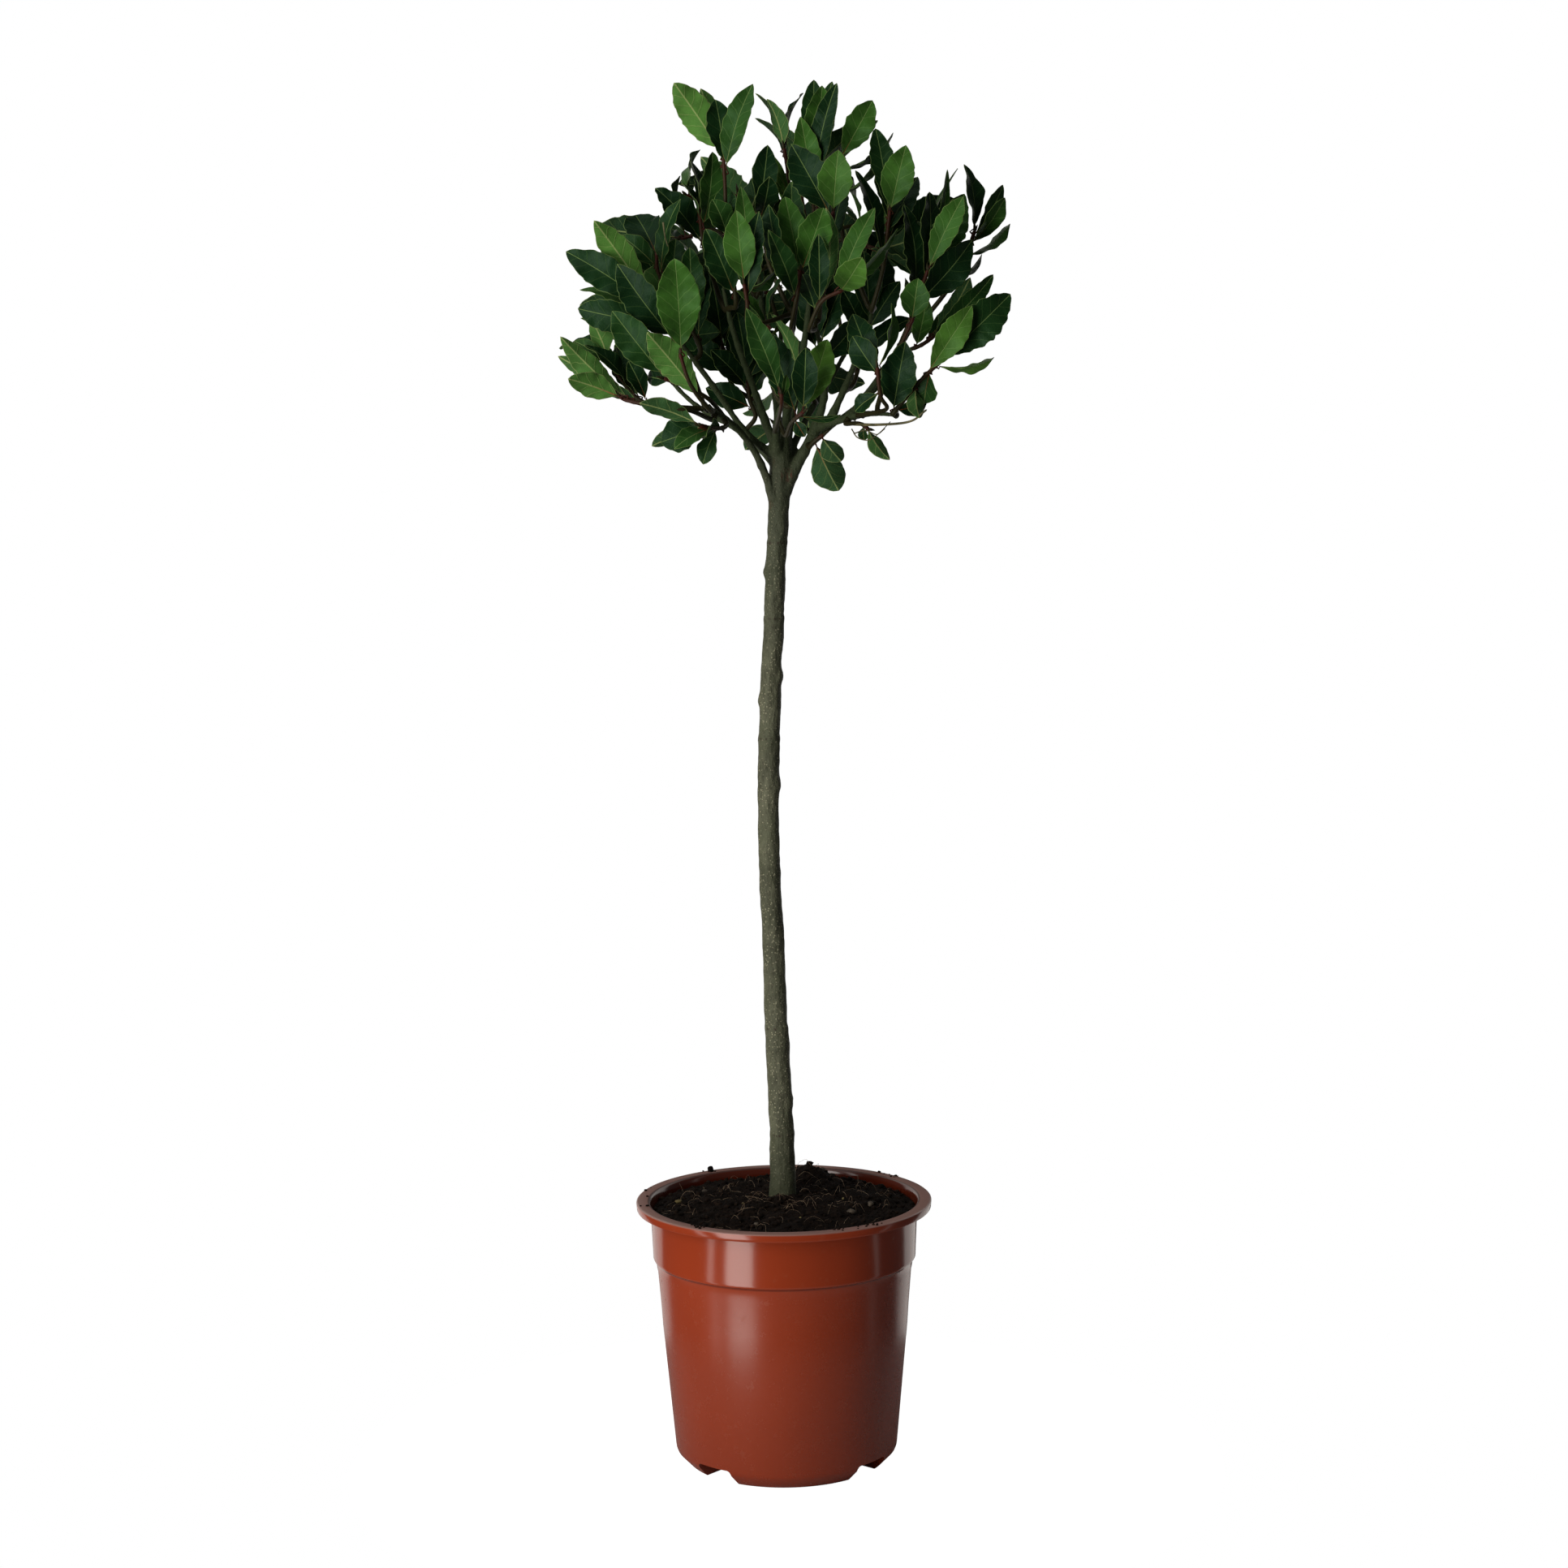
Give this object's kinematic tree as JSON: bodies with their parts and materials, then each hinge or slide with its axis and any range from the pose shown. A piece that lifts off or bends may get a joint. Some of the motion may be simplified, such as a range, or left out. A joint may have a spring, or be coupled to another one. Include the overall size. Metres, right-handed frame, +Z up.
{
  "type": "bay laurel in a pot",
  "caption": "Bay laurel grown as a small standard tree: a bare slender trunk, a round leafy head, and a round plastic nursery pot of soil.",
  "frame": {"origin": "the middle of the pot's base, where it stands", "axes": "+Z up along the pot's axis, -Y towards the fuller front of the head, +X to the right seen from there"},
  "size_m": [0.3273, 0.2731, 1.0137],
  "materials": {
    "pot_plastic": "satin, fine scuffs",
    "potting_soil": "crumbly peat",
    "bark": "smooth young bark with pale specks",
    "leaf": "glossy evergreen leaf"
  },
  "bodies": {
    "root": {"pot": "pot_plastic", "soil": "potting_soil", "spray_back_01": "leaf", "spray_back_02": "leaf", "spray_back_03": "leaf", "spray_back_04": "leaf", "spray_back_05": "leaf", "spray_back_06": "leaf", "spray_back_07": "leaf", "spray_back_08": "leaf", "spray_back_09": "leaf", "spray_back_10": "leaf", "spray_back_11": "leaf", "spray_back_13": "leaf", "spray_back_15": "leaf", "spray_back_16": "leaf", "spray_back_17": "leaf", "spray_back_18": "leaf", "spray_back_19": "leaf", "spray_back_20": "leaf", "spray_back_21": "leaf", "spray_bottom_left": "leaf", "spray_far_left": "leaf", "spray_far_right_top": "leaf", "spray_front": "leaf", "spray_front_inner": "leaf", "spray_front_left_inner": "leaf", "spray_front_low": "leaf", "spray_front_pair": "leaf", "spray_inner_far_right": "leaf", "spray_inner_left": "leaf", "spray_inner_low": "leaf", "spray_inner_right": "leaf", "spray_left": "leaf", "spray_left_front": "leaf", "spray_left_inner": "leaf", "spray_left_middle": "leaf", "spray_left_top": "leaf", "spray_low_left": "leaf", "spray_low_right": "leaf", "spray_middle": "leaf", "spray_middle_right": "leaf", "spray_right": "leaf", "spray_right_front": "leaf", "spray_right_inner": "leaf", "spray_right_middle": "leaf", "spray_right_top": "leaf", "spray_side_left": "leaf", "spray_side_left_upper": "leaf", "spray_top_left": "leaf", "spray_top_middle": "leaf", "spray_top_right": "leaf", "spray_top_right_inner": "leaf", "spray_under_left": "leaf", "spray_under_right": "leaf", "spray_under_right_out": "leaf", "spray_upper_front": "leaf", "spray_upper_right": "leaf", "trunk": "bark"}
  },
  "joints": []
}
